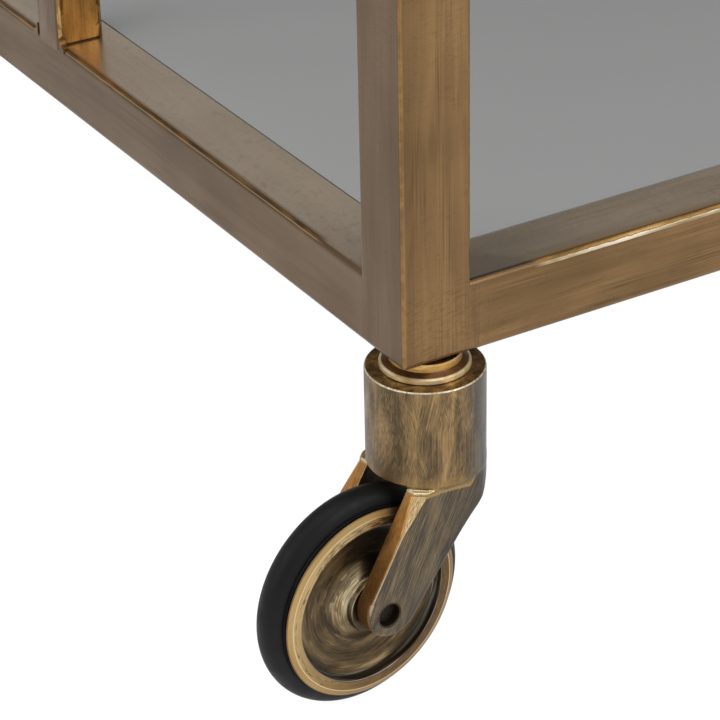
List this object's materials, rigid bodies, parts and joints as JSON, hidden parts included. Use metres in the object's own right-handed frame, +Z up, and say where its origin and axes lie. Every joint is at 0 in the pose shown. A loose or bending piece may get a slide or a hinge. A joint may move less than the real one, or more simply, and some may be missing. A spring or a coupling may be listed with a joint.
{
  "type": "bar cart on swivel casters",
  "caption": "Rectangular bar cart: a square-tube brass frame with two glass shelves, a gallery rail round the top and a swivel caster at each corner.",
  "frame": {"origin": "on the floor under the middle of the cart", "axes": "+X along the length, +Y along the depth with an open long side facing -Y, +Z up"},
  "size_m": [1.0196, 0.5266, 0.838],
  "materials": {
    "aged_brass": "dark hand-rubbed patina, brushed along each tube, satin",
    "gold_brass": "warm brushed brass with dark edges, satin",
    "caster_brass": "heavily brushed brass with dark strokes rubbed into it",
    "wheel_brass": "turned brass with dark concentric strokes",
    "bright_brass": "light satin brass with worn edges",
    "bronze": "plain bearing bronze",
    "plain_steel": "zinc-plated steel",
    "tyre": "smooth black rubber, soft sheen",
    "grey_glass": "flat mid-grey back-coated glass, satin",
    "clear_pad": "soft clear plastic"
  },
  "bodies": {
    "cart": {"front_left_post": "aged_brass", "front_right_post": "aged_brass", "rear_left_post": "aged_brass", "rear_right_post": "aged_brass", "bottom_rail_front": "aged_brass", "bottom_rail_rear": "aged_brass", "bottom_rail_left": "aged_brass", "bottom_rail_right": "aged_brass", "top_rail_front": "aged_brass", "top_rail_rear": "aged_brass", "top_rail_left": "aged_brass", "top_rail_right": "aged_brass", "gallery_rail_front": "aged_brass", "gallery_rail_rear": "aged_brass", "gallery_rail_left": "aged_brass", "gallery_rail_right": "aged_brass", "divider_left": "gold_brass", "divider_right": "gold_brass", "bottom_ledges": "aged_brass", "top_ledges": "aged_brass", "bottom_glass": "grey_glass", "top_glass": "grey_glass", "glass_pads": "clear_pad", "post_caps": "aged_brass", "stem_inserts": "plain_steel", "caster_stems": "bright_brass", "stem_washers": "bright_brass", "stem_nuts": "plain_steel", "bearing_balls": "plain_steel"},
    "front_left_caster": {"front_left_fork": "caster_brass", "front_left_swivel_bush": "bronze", "front_left_axle": "plain_steel", "front_left_axle_washers": "plain_steel"},
    "front_left_wheel": {"front_left_wheel": "wheel_brass", "front_left_wheel_bush": "bronze", "front_left_tyre": "tyre"},
    "front_right_caster": {"front_right_fork": "caster_brass", "front_right_swivel_bush": "bronze", "front_right_axle": "plain_steel", "front_right_axle_washers": "plain_steel"},
    "front_right_wheel": {"front_right_wheel": "wheel_brass", "front_right_wheel_bush": "bronze", "front_right_tyre": "tyre"},
    "rear_left_caster": {"rear_left_fork": "caster_brass", "rear_left_swivel_bush": "bronze", "rear_left_axle": "plain_steel", "rear_left_axle_washers": "plain_steel"},
    "rear_left_wheel": {"rear_left_wheel": "wheel_brass", "rear_left_wheel_bush": "bronze", "rear_left_tyre": "tyre"},
    "rear_right_caster": {"rear_right_fork": "caster_brass", "rear_right_swivel_bush": "bronze", "rear_right_axle": "plain_steel", "rear_right_axle_washers": "plain_steel"},
    "rear_right_wheel": {"rear_right_wheel": "wheel_brass", "rear_right_wheel_bush": "bronze", "rear_right_tyre": "tyre"}
  },
  "joints": [
    {"name": "front_left_swivel", "type": "hinge", "parent": "cart", "child": "front_left_caster", "pos_m": [-0.4417, -0.2422, 0.122], "axis": [0, 0, 1], "continuous": true},
    {"name": "front_left_roll", "type": "hinge", "parent": "front_left_caster", "child": "front_left_wheel", "pos_m": [-0.47045, -0.24512, 0.0395], "axis": [0.1011, -0.9949, 0], "continuous": true},
    {"name": "front_right_swivel", "type": "hinge", "parent": "cart", "child": "front_right_caster", "pos_m": [0.4417, -0.2422, 0.122], "axis": [0, 0, 1], "continuous": true},
    {"name": "front_right_roll", "type": "hinge", "parent": "front_right_caster", "child": "front_right_wheel", "pos_m": [0.47045, -0.24512, 0.0395], "axis": [0.1011, 0.9949, 0], "continuous": true},
    {"name": "rear_left_swivel", "type": "hinge", "parent": "cart", "child": "rear_left_caster", "pos_m": [-0.4417, 0.2422, 0.122], "axis": [0, 0, 1], "continuous": true},
    {"name": "rear_left_roll", "type": "hinge", "parent": "rear_left_caster", "child": "rear_left_wheel", "pos_m": [-0.47045, 0.24512, 0.0395], "axis": [-0.1011, -0.9949, 0], "continuous": true},
    {"name": "rear_right_swivel", "type": "hinge", "parent": "cart", "child": "rear_right_caster", "pos_m": [0.4417, 0.2422, 0.122], "axis": [0, 0, 1], "continuous": true},
    {"name": "rear_right_roll", "type": "hinge", "parent": "rear_right_caster", "child": "rear_right_wheel", "pos_m": [0.47045, 0.24512, 0.0395], "axis": [-0.1011, 0.9949, 0], "continuous": true}
  ]
}
